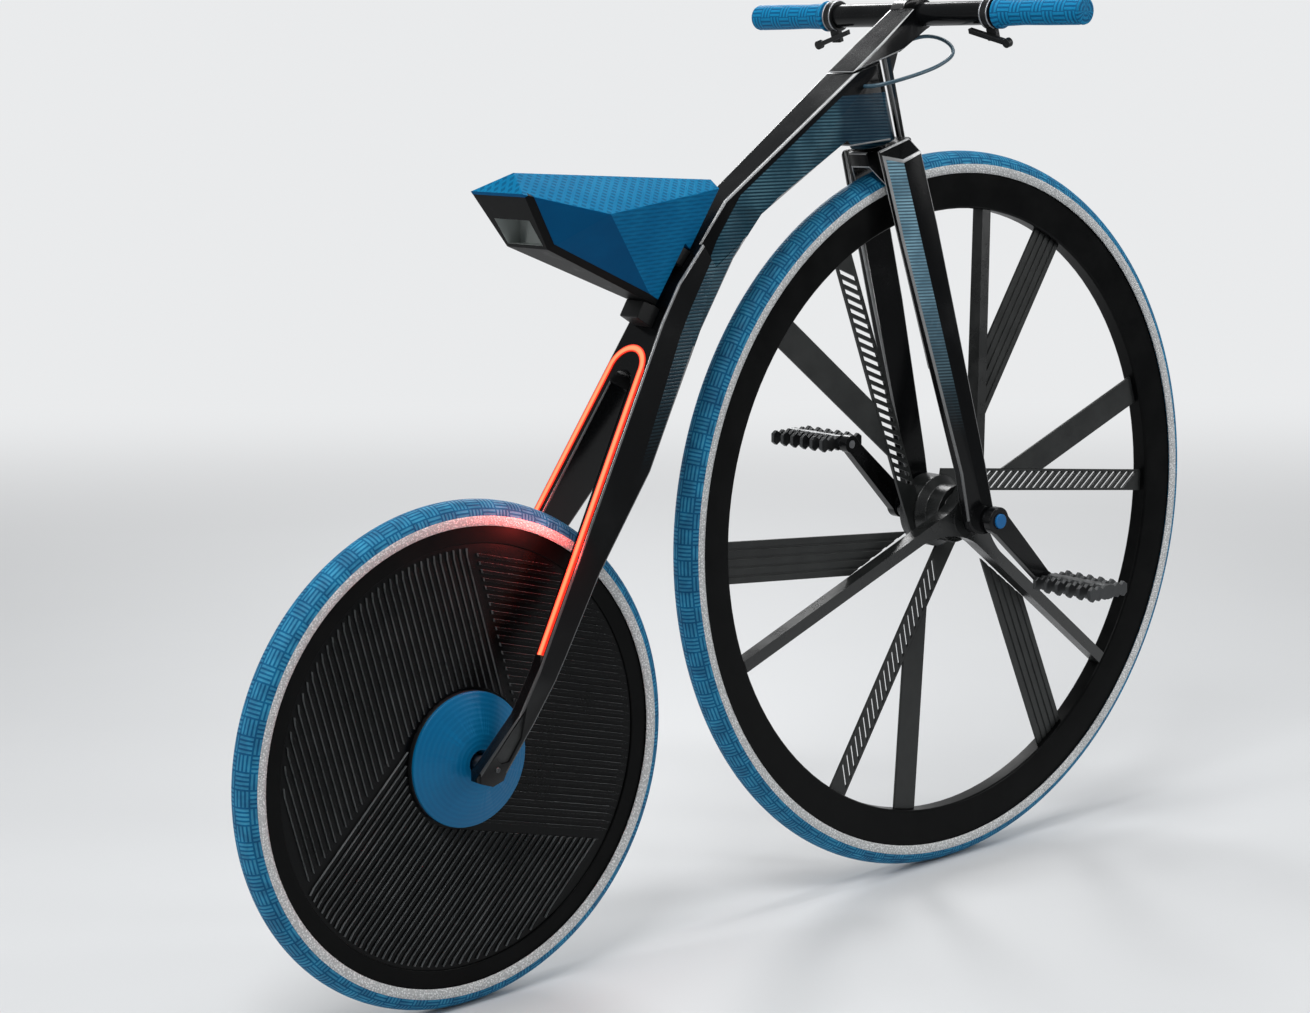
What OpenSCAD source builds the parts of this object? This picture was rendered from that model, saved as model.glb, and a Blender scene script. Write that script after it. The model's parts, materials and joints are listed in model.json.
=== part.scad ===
// Velocipede with a large pedalled front wheel, a small motor wheel behind and a one-piece beam frame.
// Lengths in millimetres, angles in degrees. X forward, Y left, Z up, origin at the rider's seat point.

/* [Wheels] */
// Radius of the front wheel over its tyre
front_radius = 448; // [430:1:475]
// Radius of the rear wheel over its tyre
rear_radius = 277.5; // [265:0.5:295]
// Gap between the two tyres where they come closest
wheel_gap = 54.4; // [48:0.2:90]
// Width of either tyre
tyre_width = 38; // [34:1:42]
// Radial height of either tyre outside its rim
tyre_height = 24; // [22:1:28]
// Radial depth of the front rim
rim_depth = 46; // [38:1:52]
// Width of either rim at the tyre
rim_width = 30; // [26:1:32]
// Width of a lined strap
lined_width = 50; // [40:1:54]
// Width of a smooth strap
smooth_width = 37; // [30:1:42]
// Width of a hatched strap
hatched_width = 28; // [22:1:34]
// Thickness of a strap spoke
strap_thickness = 3.5; // [2.5:0.5:4.5]
// Width of a main spoke in the plane of the wheel
spoke_width = 15; // [12:1:20]

/* [Steering] */
// Lean of the steering axis back from vertical
steering_lean = 16.5; // [14:0.5:19]
// Gap between the front tyre and the fork crown
tyre_gap = 11; // [8:0.5:16]
// Thickness of the fork crown above the tyre
crown_thickness = 19; // [17:1:24]
// Height of the frame's steering head
head_height = 92.5; // [86:0.5:98]
// Radius of the frame's steering head
head_radius = 27; // [25:1:28]
// Radius of the steerer
steerer_radius = 13; // [11:0.5:15]
// Half the handlebar's width
bar_half = 266; // [240:1:290]
// Radius of the handlebar at the stem
bar_radius = 14; // [12:0.5:16]
// Length of a grip
grip_length = 128; // [110:1:140]
// Radius of a grip
grip_radius = 15.5; // [14.5:0.5:18]

/* [Drive] */
// Length of a crank between axle and pedal
crank_length = 126; // [110:1:140]
// Thickness of a crank
crank_thickness = 12; // [10:1:16]
// Angle of the right crank below the forward direction
crank_drop = 43.4; // [0:0.2:90]
// Radius of the front axle
axle_radius = 9; // [7:0.5:11]
// Length of a pedal along its spindle
pedal_length = 92; // [80:1:105]

/* [Frame] */
// Lean of the stays forward from vertical
stay_lean = 31.1; // [29:0.1:33]
// Half the width of the frame's beam
beam_half = 28; // [26:0.5:29]
// Distance of a rear dropout's outer face from the middle
dropout_outer = 70; // [66:1:76]
// Thickness of a dropout across the bicycle
dropout_thickness = 18; // [14:1:20]
// Width of the light strip
strip_width = 8; // [6:0.5:10]
// Half the width of the saddle at its widest
saddle_half = 82; // [70:1:92]

/* [Hidden] */
$fn = 64;

// Room for turning pieces: a running fit, a seam, and open space round a piece that swings
running_fit = 0.05;
seam_gap = 1.5;
swing_gap = 5.5;
// Reach of a cutter beyond what it cuts, and the size of a half-space block
over = 2;
far = 1600;

// The axles stand apart by the gap between the tyres, or by the front tyre's room before the stays
stay_depth = 55.8;
stay_gap = 59.8;
radius_step = front_radius - rear_radius;
apart_by_tyres = sqrt(pow(front_radius + rear_radius + wheel_gap, 2) - pow(radius_step, 2));
apart_by_stays = (front_radius + stay_gap + stay_depth + radius_step * sin(stay_lean)) / cos(stay_lean);
wheelbase = max(apart_by_tyres, apart_by_stays);

// Frames of reference: the steering axis through the front axle, the stays through the rear axle
module on_steering() { translate([wheelbase, 0, front_radius]) rotate([0, -steering_lean, 0]) children(); }
module on_stays() { translate([0, 0, rear_radius]) rotate([0, stay_lean, 0]) children(); }
module on_front_axle() { translate([wheelbase, 0, front_radius]) children(); }
module on_rear_axle() { translate([0, 0, rear_radius]) children(); }
// Ground place (x, z) of a point given along the steering axis or along the stays
function from_steering(x, z) = [wheelbase + x * cos(steering_lean) - z * sin(steering_lean),
    front_radius + x * sin(steering_lean) + z * cos(steering_lean)];
function from_stays(n, s) = [n * cos(stay_lean) + s * sin(stay_lean),
    rear_radius - n * sin(stay_lean) + s * cos(stay_lean)];
// A drawing in (x, z) thickened across the bicycle, and one in (y, z) thickened forward
module across(width) { rotate([90, 0, 0]) linear_extrude(height = width, center = true) children(); }
module forward(depth) { rotate([90, 0, 90]) linear_extrude(height = depth) children(); }
// A body of revolution about an axle, drawn in (radius, place along +Y)
module about_axle() { rotate([-90, 0, 0]) rotate_extrude($fn = 180) children(); }
// A shaft along +Y from one place to another
module shaft(from, to, radius) { translate([0, from, 0]) rotate([-90, 0, 0]) cylinder(r = radius, h = to - from); }
function unit(v) = v / norm(v);
// The space outside the plane through three points that run anticlockwise seen from outside
module beyond(p, q, r) { facing(p, q, r) translate([-far / 2, -far / 2, 0]) cube(far); }
// Places children with X from the first point to the second and Z straight out of the three points' plane
module facing(p, q, r) {
    a = unit(q - p);
    c = unit(cross(q - p, r - p));
    b = cross(c, a);
    multmatrix([[a.x, b.x, c.x, p.x], [a.y, b.y, c.y, p.y], [a.z, b.z, c.z, p.z], [0, 0, 0, 1]]) children();
}

// Steering stack, along the steering axis from the front axle
crown_floor = front_radius + tyre_gap;
crown_top = crown_floor + crown_thickness;
head_gap = 4;
head_bottom = crown_top + head_gap;
head_top = head_bottom + head_height;
stem_bottom = head_top + seam_gap;
steerer_seat = 6;
strut_room = 16;
strut_depth = 9;
strut_inner = head_radius + strut_room;
strut_front = strut_inner + strut_depth;
strut_half = 4;
bar_x = 105;
bar_rise = 30;
bar_z = stem_bottom + bar_rise;
// The beam's top runs straight on into the stem, rising this much per length along the steering frame
top_rise_share = 0.338;
stem_rear = -29;

// Frame outline. Beam front in steering places (x, z), stays in stay places (n, s)
beam_front = 3;
beam_under = [[-60, 15], [-66, 24]];
stay_front = [[70.3, 694.7], [64.4, 667.7], [58.5, 632], [stay_depth, 541], [stay_depth, 368], [50, 331], [36, 238],
    [30, 141], [23, 60], [15, 0]];
stay_bend_s = 570;
stay_rear = [[-15, 0], [0, 60], [0, stay_bend_s]];
top_rear_n = 21.3;
top_rear_s = 685;
dropout_tip = [[14, -8], [4, -19], [-12, -22], [-18, -12]];
axle_cover = 7;
axle_reach = dropout_outer - axle_cover;
// Leaf shaped pocket in a dropout's outer face, in stay places
pocket = [[-8, 10], [2, 6], [11, 12], [14, 40], [4, 72]];
pocket_depth = 3;
// Stays seen from behind: where they leave the beam and where they run straight down to the axle
split_s = 462;
split_half = 34;
splay_s = 110;
beam_s = 520;
stay_end_s = -30;
frame_end_s = 1100;
slot_half = 17;
slot_s = 445;
// Top face half widths and the chamfers beside it
top_half_front = 24;
top_half_rear = 18.5;
chamfer_drop = 20;
// Light strip legs from the arch to their ends
strip_top_y = 26;
strip_end_y = 60;
strip_end_s = 129;
strip_depth = 5;
strip_proud = 1.2;
strip_splay = atan((strip_end_y - strip_top_y) / (split_s - strip_end_s));
strip_leg = norm([strip_end_y - strip_top_y, split_s - strip_end_s]);

// Saddle corners in stay places (n, half width, s)
ridge_rear = [-243, 0, 573.4];
ridge_front = [9.4, 0, 704.6];
wide = [-165.2, saddle_half, 570.1];
tail = [-251.6, 46, 544.9];
keel_rear = [-187.2, 35, 513.6];
keel_front = [-10.1, 16, 537.5];
nose = [5.8, 20, 693.1];
saddle_front_n = 5;
saddle_low_n = -9;
saddle_step_s = 615;
shell_thickness = 7;
cover_skin = 4;
seat_share = 0.4;
seat = ridge_rear + seat_share * (ridge_front - ridge_rear);
seat_point = from_stays(seat.x, seat.z);
module placed() { translate([-seat_point.x, 0, -seat_point.y]) children(); }
function right(p) = [p.x, -p.y, p.z];
// Hand slot in the saddle's tail
slot_width = 60;
slot_tall = 27;
slot_deep = 26;
slot_wall = 4;
slot_place = [-206, 0, 522.7];
saddle_tilt = -31;
// Brackets under the saddle, in stay places
bracket_reach = 26;
bracket_half = 15;
bracket_low_s = 514;
bracket_high_s = 592;

// Fork blades: inner face at the axle, splay, and edges seen from the side
blade_inner = 44;
blade_thickness = 19;
blade_outer = blade_inner + blade_thickness;
blade_splay = 2.3;
blade_rear = -21;
blade_front = 34;
blade_high_z = 370;
blade_low_z = 65;
blade_low_rear = -15;
blade_low_front = 24;
// Columns: share of the depth from the rear, share of the width from inside
blade_section_shares = [[0, 0.1], [0, 0.55], [0.4, 1], [1, 0.95], [0.94, 0], [0.06, 0]];
blade_tip = 20;
boss_radius = 17;
boss_outer = 70;
// Crown between the blades. Columns of its plan: place forward, half width
crown_half = 30;
crown_nose = 7;
crown_plan = [[-28, 14], [-12, crown_half], [blade_front, crown_half], [strut_front + over, crown_nose]];
crown_rear = crown_plan[0].x;
crown_front = strut_front + over;
crown_deep = 44;
crown_slope = 8;
shoulder_drop = 21;
arch_half = 14;
arch_drop = 25;
function splayed(y, z) = y - z * tan(blade_splay);
function crown_height(x) = crown_top - crown_slope * (x - blade_front) / (crown_front - blade_front);

// Front wheel
front_seat = front_radius - tyre_height;
rim_inner = front_seat - rim_depth;
hub_radius = 45;
hub_gap = 5.5;
hub_half = blade_inner - hub_gap;
hub_waist = 36;
hub_core = 28;
hub_waist_from = -18;
hub_waist_to = 12;
spoke_phase = 83.8;
spoke_offset = -14;
spoke_fillet = 110;
spoke_lap = 0.4;
spoke_rim_from = -10;
spoke_rim_to = 6;
rim_nose = 11;
rim_flank = 1.5;
// Straps. Columns: angle, offset from the axle, width, place on the hub, place at the rim
strap_lined = [55.2, 45, lined_width, -12, -3];
lined_bars = 5;
lined_gap = 3.2;
lined_web_share = 0.4;
strap_smooth = [22.6, -25, smooth_width, 15, -2];
strap_hatched = [-6.4, 39, hatched_width, 15, -2];
hatch_pitch = 13;
hatch_slot = 6.5;
hatch_edge = 3;
hatch_lean = 45;
hatch_from = 66;
hatch_to = 352;

// Cranks and pedals
crank_gap = 6;
crank_inner = boss_outer + crank_gap;
crank_outer = crank_inner + crank_thickness;
crank_boss = 17;
crank_end = 11;
crank_waist = 15;
crank_tip = 9.5;
cap_thickness = 3;
spindle_radius = 5;
pedal_gap = 6;
pedal_inner = crank_outer + pedal_gap;
pedal_core = 9.5;
pedal_plates = 6;
pedal_plate = 5;
pedal_reach = 70;
pedal_tall = 19;
pedal_teeth = 6;
pedal_tooth = 4;

// Rear wheel
rear_seat = rear_radius - tyre_height;
rear_rim_depth = 22;
rear_rim_inner = rear_seat - rear_rim_depth;
rim_lip = 4;
motor_radius = 74;
motor_half = 18;
rear_axle_radius = 8;
cover_bore = 14;
cover_crown = 28;
cover_height = 23;
cover_edge = 4;
disc_half = 12;
// Ribs on the disc in three fields, each square to a line that touches the motor hub
rib_half = 15;
rib_pitch = 8.3;
rib_width = 3.4;
rib_point = 9;
rib_fields = 3;
rib_phase = -15;
rib_outer = rear_rim_inner - rim_lip;
ribs = floor((motor_radius + rib_outer) / rib_pitch) - 1;

// Handlebar
bar_end_radius = 11;
grip_cap = 4;
grip_flange = 20;
grip_flange_width = 4;
grip_inner = bar_half - grip_length;
clamp_width = 14;
clamp_gap = 3;
clamp_wall = 4;
clamp_outer = grip_inner - clamp_gap;
// Lever under the bar: its face beside the clamp's cheek, and its ends across and below the bar
lever_x = -9;
lever_thick = 7;
lever_cheek = 7;
cheek_drop = 31;
lever_back = 38;
lever_past = 16;
lever_inner = [grip_inner - lever_back, -17];
lever_outer = [grip_inner + lever_past, -32];
lever_half = 3;
lever_knob = 5.5;
stem_half = 22;
stem_tip_half = 18;
stem_eye = 18;
stem_seat = 4;
stem_throat = [72, 4];
strut_fillet = 24;

// Brake hose: from under the stem to a port in the head's right side, in steering places above the head's foot
hose_radius = 2.3;
hose_sides = 8;
port = [-21, -24, 75];
port_reach = 22;
hose_route = [[80, -8, 98.5], [92, -13, 99], [106, -19, 97], [117, -28, 91], [121, -38, 84], [114, -48, 77],
    [96, -55, 72], [68, -58, 70.5], [38, -57.5, 71.5], [12, -56, 73.4], [-1, -54.5, 74.4], [-10, -51, 75],
    [-17, -45, 75], [-20.4, -38, 75], port - [0, port_reach / 2, 0], port];

// Frame and what is fixed to it

module frame() {
    placed() color("#0b0b0d")
    difference() {
        intersection() {
            union() {
                across(2 * (dropout_outer + over)) frame_side();
                on_steering() translate([0, 0, head_bottom])
                    cylinder(r = head_radius, h = head_height, $fn = 96);
            }
            on_stays() translate([-far / 2, 0, 0]) forward(far) frame_behind();
        }
        top_chamfer();
        mirror([0, 1, 0]) top_chamfer();
        on_stays() translate([-over, 0, 0]) forward(over + strip_depth) strip_outline();
        on_steering() translate([0, 0, head_bottom - over])
            cylinder(r = steerer_radius + running_fit, h = head_height + 2 * over);
        for (side = [-1, 1]) on_stays() translate([0, side * dropout_outer, 0]) across(2 * pocket_depth)
            polygon(pocket);
        on_steering() translate([port.x, 0, head_bottom + port.z])
            shaft(port.y - port_reach, port.y, hose_radius);
        on_rear_axle() shaft(-axle_reach, axle_reach, rear_axle_radius);
    }
}
module frame_side() {
    top_rear = from_stays(top_rear_n, top_rear_s);
    polygon(concat([for (p = stay_rear) from_stays(p.x, p.y)], [top_rear,
        from_steering(stem_rear, head_top), from_steering(beam_front, head_top),
        from_steering(beam_front, head_bottom + over)],
        [for (p = beam_under) from_steering(p.x, head_bottom + p.y)],
        [for (p = concat(stay_front, dropout_tip)) from_stays(p.x, p.y)]));
}
module frame_behind() {
    outer = [[dropout_outer, stay_end_s], [dropout_outer, splay_s], [split_half, split_s], [beam_half, beam_s],
        [beam_half, frame_end_s]];
    inner = dropout_outer - dropout_thickness;
    difference() {
        polygon(concat(outer, [for (i = [len(outer) - 1 : -1 : 0]) [-outer[i].x, outer[i].y]]));
        polygon([[inner, stay_end_s - over], [inner, splay_s], [slot_half, slot_s], [-slot_half, slot_s],
            [-inner, splay_s], [-inner, stay_end_s - over]]);
        translate([0, slot_s]) circle(r = slot_half);
    }
}
module top_chamfer() {
    a = from_steering(stem_rear, head_top);
    b = from_stays(top_rear_n, top_rear_s);
    d = unit(a - b);
    low = a + chamfer_drop * [d.y, -d.x];
    facing([b.x, top_half_rear, b.y], [a.x, top_half_front, a.y], [low.x, beam_half, low.y])
        translate([-3 * chamfer_drop, -chamfer_drop, 0])
            cube([norm(a - b) + 5 * chamfer_drop, 2 * chamfer_drop + beam_half, far]);
}
module strip_outline() {
    difference() {
        translate([0, split_s]) circle(r = strip_top_y + strip_width / 2);
        translate([0, split_s]) circle(r = strip_top_y - strip_width / 2);
        translate([-far / 2, split_s - far]) square(far);
    }
    for (side = [-1, 1])
        translate([side * strip_top_y, split_s]) rotate(side * strip_splay)
            translate([-strip_width / 2, -strip_leg]) square([strip_width, strip_leg + seam_gap]);
}
module light_strip() {
    placed() color("#ff3a1c")
    on_stays() translate([-strip_proud, 0, 0]) forward(strip_proud + strip_depth) strip_outline();
}
module saddle_form() {
    difference() {
        translate([tail.x - over, -saddle_half - over, keel_rear.z - over])
            cube([saddle_front_n - tail.x + over, 2 * (saddle_half + over), ridge_front.z - keel_rear.z + 2 * over]);
        saddle_side();
        mirror([0, 1, 0]) saddle_side();
        beyond(ridge_rear, tail, right(tail));
        beyond(tail, keel_rear, right(tail));
        beyond(keel_rear, keel_front, right(keel_rear));
        translate([saddle_low_n, -far / 2, saddle_step_s - far]) cube(far);
        slot_block(0);
    }
}
module slot_block(wall) {
    translate(slot_place) rotate([0, saddle_tilt, 0])
        translate([-slot_deep, -slot_width / 2 - wall, -slot_tall / 2 - wall])
            cube([2 * slot_deep + wall, slot_width + 2 * wall, slot_tall + 2 * wall]);
}
module saddle_side() {
    beyond(ridge_rear, ridge_front, wide);
    beyond(tail, wide, keel_rear);
    beyond(wide, keel_front, keel_rear);
    beyond(wide, nose, keel_front);
}
// The part of the saddle within the shell's thickness of its tail or keel, and the walls of the hand slot
function inward(p, q, thickness) = thickness * unit([p.z - q.z, 0, q.x - p.x]);
module shell_space() {
    behind = inward(tail, keel_rear, shell_thickness);
    under = inward(keel_rear, keel_front, shell_thickness);
    skin = inward(ridge_rear, tail, cover_skin);
    difference() {
        union() {
            beyond(tail + behind, keel_rear + behind, right(tail) + behind);
            slot_block(slot_wall);
        }
        beyond(ridge_rear + skin, tail + skin, right(tail) + skin);
    }
    beyond(keel_rear + under, keel_front + under, right(keel_rear) + under);
}
module saddle_cover() {
    placed() color("#1769b5")
    on_stays() difference() {
        saddle_form();
        shell_space();
    }
}
module saddle_shell() {
    placed() color("#141416")
    on_stays() intersection() {
        saddle_form();
        shell_space();
    }
}
module saddle_brackets() {
    placed() color("#2a2a2d")
    on_stays() {
        difference() {
            translate([-bracket_reach, -bracket_half, bracket_low_s])
                cube([bracket_reach, 2 * bracket_half, keel_front.z - bracket_low_s]);
            beyond(right(keel_rear), keel_front, keel_rear);
        }
        difference() {
            translate([saddle_low_n, -bracket_half, bracket_high_s])
                cube([bracket_reach, 2 * bracket_half, saddle_step_s - bracket_high_s - over]);
            beyond([0, 0, stay_bend_s], [0, bracket_half, stay_bend_s], [top_rear_n, 0, top_rear_s]);
        }
    }
}
module rear_axle() {
    placed() color("#6d7074")
    on_rear_axle() shaft(-axle_reach, axle_reach, rear_axle_radius);
}

// Steering

module fork() {
    placed() color("#0b0b0d")
    on_steering() difference() {
        union() {
            intersection() {
                union() {
                    blade();
                    mirror([0, 1, 0]) blade();
                    translate([0, 0, crown_top - crown_deep]) linear_extrude(height = crown_deep) crown_above();
                }
                translate([-far / 2, 0, 0]) forward(far) fork_front();
                union() {
                    across(far) fork_side();
                    across(far) circle(r = blade_tip);
                }
            }
            shaft(blade_inner + over, boss_outer, boss_radius);
            shaft(-boss_outer, -blade_inner - over, boss_radius);
        }
        translate([0, 0, crown_top - steerer_seat]) cylinder(r = steerer_radius, h = steerer_seat + over);
        shaft(-boss_outer - over, boss_outer + over, axle_radius + running_fit);
    }
}
module blade() {
    depth = blade_front - blade_rear;
    translate([0, blade_inner, 0]) rotate([blade_splay, 0, 0]) translate([0, 0, -blade_tip - over])
        linear_extrude(height = crown_top + blade_tip + 2 * over)
            polygon([for (p = blade_section_shares) [blade_rear + p.x * depth, p.y * blade_thickness]]);
}
module crown_above() {
    n = len(crown_plan);
    polygon(concat(crown_plan, [for (i = [n - 1 : -1 : 0]) [crown_plan[i].x, -crown_plan[i].y]]));
}
module fork_front() {
    low = -blade_tip - over;
    shoulder_z = crown_top - shoulder_drop;
    arch_z = crown_floor - arch_drop;
    side = [[splayed(blade_outer, low) + over, low], [splayed(blade_outer, shoulder_z) + over, shoulder_z],
        [crown_half, crown_top]];
    arch = [[arch_half, crown_floor], [splayed(blade_inner, arch_z) - over, arch_z],
        [splayed(blade_inner, low) - over, low]];
    polygon(concat(side, [for (i = [len(side) - 1 : -1 : 0]) [-side[i].x, side[i].y]],
        [for (i = [len(arch) - 1 : -1 : 0]) [-arch[i].x, arch[i].y]], arch));
}
module fork_side() {
    polygon([[-blade_tip, 0], [blade_low_rear, blade_low_z], [blade_rear, blade_high_z],
        [blade_rear, crown_top - 2 * crown_deep], [crown_rear, crown_top - crown_deep], [crown_rear, crown_top],
        [blade_front, crown_top], [crown_front, crown_top - crown_slope], [crown_front, crown_floor - over],
        [blade_front, crown_top - 2 * crown_deep], [blade_front, blade_high_z], [blade_low_front, blade_low_z],
        [blade_tip, 0]]);
}
module steerer() {
    placed() color("#6d7074")
    on_steering() translate([0, 0, crown_top - steerer_seat])
        cylinder(r = steerer_radius, h = stem_bottom + steerer_seat - crown_top + stem_seat);
}
module stem() {
    placed() color("#0b0b0d")
    on_steering() difference() {
        union() {
            intersection() {
                union() {
                    across(2 * stem_half) stem_side();
                    across(2 * stem_half) translate([bar_x, bar_z]) circle(r = stem_eye);
                }
                linear_extrude(height = far) stem_above();
            }
            across(2 * strut_half) strut_side();
        }
        translate([0, 0, stem_bottom - over]) cylinder(r = steerer_radius, h = stem_seat + over);
        translate([bar_x, 0, bar_z]) shaft(-far / 2, far / 2, bar_radius);
    }
}
module stem_side() {
    polygon([[stem_rear, stem_bottom], [bar_x, stem_bottom + (bar_x - stem_rear) * top_rise_share],
        [bar_x, bar_z - stem_eye], [stem_throat.x, stem_bottom + stem_throat.y], [strut_front, stem_bottom]]);
}
module strut_side() {
    polygon([[strut_inner, crown_height(strut_inner)], [strut_inner, stem_bottom + stem_seat],
        [stem_throat.x, stem_bottom + stem_throat.y + stem_seat], [stem_throat.x, stem_bottom + stem_throat.y],
        [strut_front, stem_bottom - strut_fillet], [strut_front, crown_height(strut_front)]]);
}
module stem_above() {
    polygon([[stem_rear, stem_half], [0, stem_half], [head_radius, stem_half], [bar_x + 2 * stem_eye, stem_tip_half],
        [bar_x + 2 * stem_eye, -stem_tip_half], [head_radius, -stem_half], [0, -stem_half],
        [stem_rear, -stem_half]]);
}
module at_bar() { on_steering() translate([bar_x, 0, bar_z]) children(); }
module handlebar() {
    placed() color("#0b0b0d")
    at_bar() {
        shaft(-clamp_outer, clamp_outer, bar_radius);
        shaft(-bar_half + grip_cap, bar_half - grip_cap, bar_end_radius);
    }
}
module grip() {
    difference() {
        union() {
            shaft(grip_inner, bar_half, grip_radius);
            shaft(grip_inner, grip_inner + grip_flange_width, grip_flange);
        }
        shaft(grip_inner - over, bar_half - grip_cap, bar_end_radius);
    }
}
module grip_left() {
    placed() color("#1769b5") at_bar() grip();
}
module grip_right() {
    placed() color("#1769b5") at_bar() mirror([0, 1, 0]) grip();
}
module lever_clamp() {
    difference() {
        union() {
            shaft(clamp_outer - clamp_width, clamp_outer, bar_radius + clamp_wall);
            translate([lever_x, clamp_outer - clamp_width, -cheek_drop])
                cube([lever_cheek, clamp_width, cheek_drop - bar_radius + clamp_wall / 2]);
        }
        shaft(clamp_outer - clamp_width - over, clamp_outer + over, bar_radius);
    }
}
module lever_clamp_left() {
    placed() color("#1c1c1f") at_bar() lever_clamp();
}
module lever_clamp_right() {
    placed() color("#1c1c1f") at_bar() mirror([0, 1, 0]) lever_clamp();
}
module brake_lever() {
    translate([lever_x - lever_thick, 0, 0]) rotate([90, 0, 90]) {
        linear_extrude(height = lever_thick)
            polygon([lever_inner + [0, lever_half], lever_inner - [0, lever_half], lever_outer - [0, lever_half],
                lever_outer + [0, lever_half]]);
        translate([lever_outer.x, lever_outer.y, 0]) cylinder(r = lever_knob, h = lever_thick);
    }
}
module brake_lever_left() {
    placed() color("#2a2a2d") at_bar() brake_lever();
}
module brake_lever_right() {
    placed() color("#2a2a2d") at_bar() mirror([0, 1, 0]) brake_lever();
}
// Rings round a route, each square to the way the route goes there
function way(r, i) = unit(r[min(i + 1, len(r) - 1)] - r[max(i - 1, 0)]);
function ring(c, w, radius, sides) = let (u = unit(cross(w, [0, 0, 1])), v = cross(u, w))
    [for (k = [0 : sides - 1]) c + radius * (cos(360 * k / sides) * u + sin(360 * k / sides) * v)];
module tube(route, radius, sides) {
    n = len(route);
    points = [for (i = [0 : n - 1]) each ring(route[i], way(route, i), radius, sides)];
    walls = [for (i = [0 : n - 2], k = [0 : sides - 1]) let (m = (k + 1) % sides)
        each [[i * sides + k, i * sides + m, (i + 1) * sides + m], [i * sides + k, (i + 1) * sides + m, (i + 1) * sides + k]]];
    polyhedron(points, concat([[for (k = [sides - 1 : -1 : 0]) k]], walls,
        [[for (k = [0 : sides - 1]) (n - 1) * sides + k]]));
}
module brake_hose() {
    placed() color("#35506b")
    on_steering() tube([for (p = hose_route) p + [0, 0, head_bottom]], hose_radius, hose_sides);
}

// Front wheel

module front_tyre() {
    placed() color("#1769b5")
    on_front_axle() about_axle() tyre_section(front_radius);
}
module tyre_section(radius) {
    difference() {
        translate([radius - tyre_width / 2, 0]) circle(d = tyre_width);
        translate([0, -tyre_width]) square([radius - tyre_height, 2 * tyre_width]);
    }
}
module front_rim() {
    placed() color("#17181a")
    on_front_axle() about_axle()
        polygon([[rim_inner, -rim_nose], [front_seat - rim_depth / 2, -rim_width / 2 + rim_flank],
            [front_seat, -rim_width / 2], [front_seat, rim_width / 2],
            [front_seat - rim_depth / 2, rim_width / 2 - rim_flank], [rim_inner, rim_nose]]);
}
module front_hub() {
    placed() color("#17181a")
    on_front_axle() about_axle()
        polygon([[axle_radius, -hub_half], [hub_core, -hub_half], [hub_core, hub_waist_from],
            [hub_waist, hub_waist_from], [hub_waist, hub_waist_to - hub_radius + hub_waist],
            [hub_radius, hub_waist_to], [hub_radius, hub_half], [axle_radius, hub_half]]);
}
// A ring between the hub and the rim that leans from one place along the axle to another
module leaning_ring(inner, hub_from, hub_to, rim_from, rim_to) {
    about_axle() polygon([[inner, hub_from], [inner, hub_to], [rim_inner, rim_to], [rim_inner, rim_from]]);
}
module main_spokes() {
    placed() color("#17181a")
    on_front_axle() intersection() {
        union() for (k = [0 : 2]) {
            across(4 * hub_radius) rotate(spoke_phase + 120 * k)
                translate([0, spoke_offset - spoke_width / 2]) square([front_seat, spoke_width]);
            across(4 * hub_radius) rotate(spoke_phase + 120 * k) spoke_round();
        }
        leaning_ring(hub_core, -hub_half, hub_waist_from - over, spoke_rim_from, spoke_rim_to);
    }
}
// A round between one spoke's leading edge and the next one's trailing edge
module spoke_round() {
    lead = spoke_offset + spoke_width / 2;
    trail = spoke_offset - spoke_width / 2;
    out = [-sin(120), cos(120)];
    middle = [(trail - spoke_fillet - out.y * (lead + spoke_fillet)) / out.x, lead + spoke_fillet];
    difference() {
        polygon([[(trail + spoke_lap - out.y * (lead - spoke_lap)) / out.x, lead - spoke_lap],
            [middle.x, lead - spoke_lap], middle, middle + (spoke_fillet + spoke_lap) * out]);
        translate(middle) circle(r = spoke_fillet + spoke_lap);
    }
}
module strap_band(row) {
    translate([0, row[1] - row[2] / 2]) square([front_seat, row[2]]);
}
module strap_ring(row) {
    leaning_ring(hub_radius, row[3], row[3] + strap_thickness, row[4], row[4] + strap_thickness);
}
module lined_straps() {
    bar = (lined_width - (lined_bars - 1) * lined_gap) / lined_bars;
    web = strap_thickness * lined_web_share;
    placed() color("#17181a")
    on_front_axle() for (k = [0 : 2]) union() {
        intersection() {
            across(4 * hub_radius) lined_part(k, strap_lined[1], lined_width);
            leaning_ring(hub_radius, strap_lined[3] + web, strap_lined[3] + 2 * web, strap_lined[4] + web,
                strap_lined[4] + 2 * web);
        }
        for (i = [0 : lined_bars - 1]) intersection() {
            across(4 * hub_radius)
                lined_part(k, strap_lined[1] + (bar - lined_width) / 2 + i * (bar + lined_gap), bar);
            strap_ring(strap_lined);
        }
    }
}
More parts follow.
